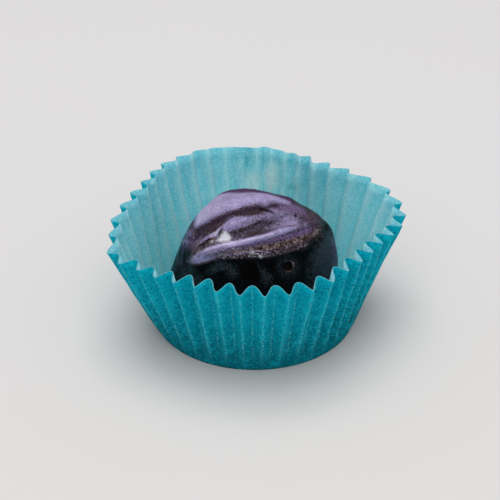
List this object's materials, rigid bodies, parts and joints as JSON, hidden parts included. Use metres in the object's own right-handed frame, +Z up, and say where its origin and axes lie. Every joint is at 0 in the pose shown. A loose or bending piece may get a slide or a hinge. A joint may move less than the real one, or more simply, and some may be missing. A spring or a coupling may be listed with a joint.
{
  "type": "chocolate truffle in a pleated paper case",
  "caption": "Domed chocolate truffle with combed, lustre-dusted ridges, sitting loose in an open pleated teal paper case that flares to a zigzag rim.",
  "frame": {"origin": "centre of the paper case's flat base, on the surface that it stands on", "axes": "+Z up out of the case, +X to the right of someone looking at the truffle's combed ridges, +Y away from them"},
  "size_m": [0.047, 0.0471, 0.0213],
  "materials": {
    "chocolate": "glossy dark chocolate with a lilac and bronze pearl lustre dusted over the combed top",
    "case_paper": "matt thin pleated paper, teal right through, with pale worn crease lines"
  },
  "bodies": {
    "root": {"truffle": "chocolate", "paper_case": "case_paper"}
  },
  "joints": []
}
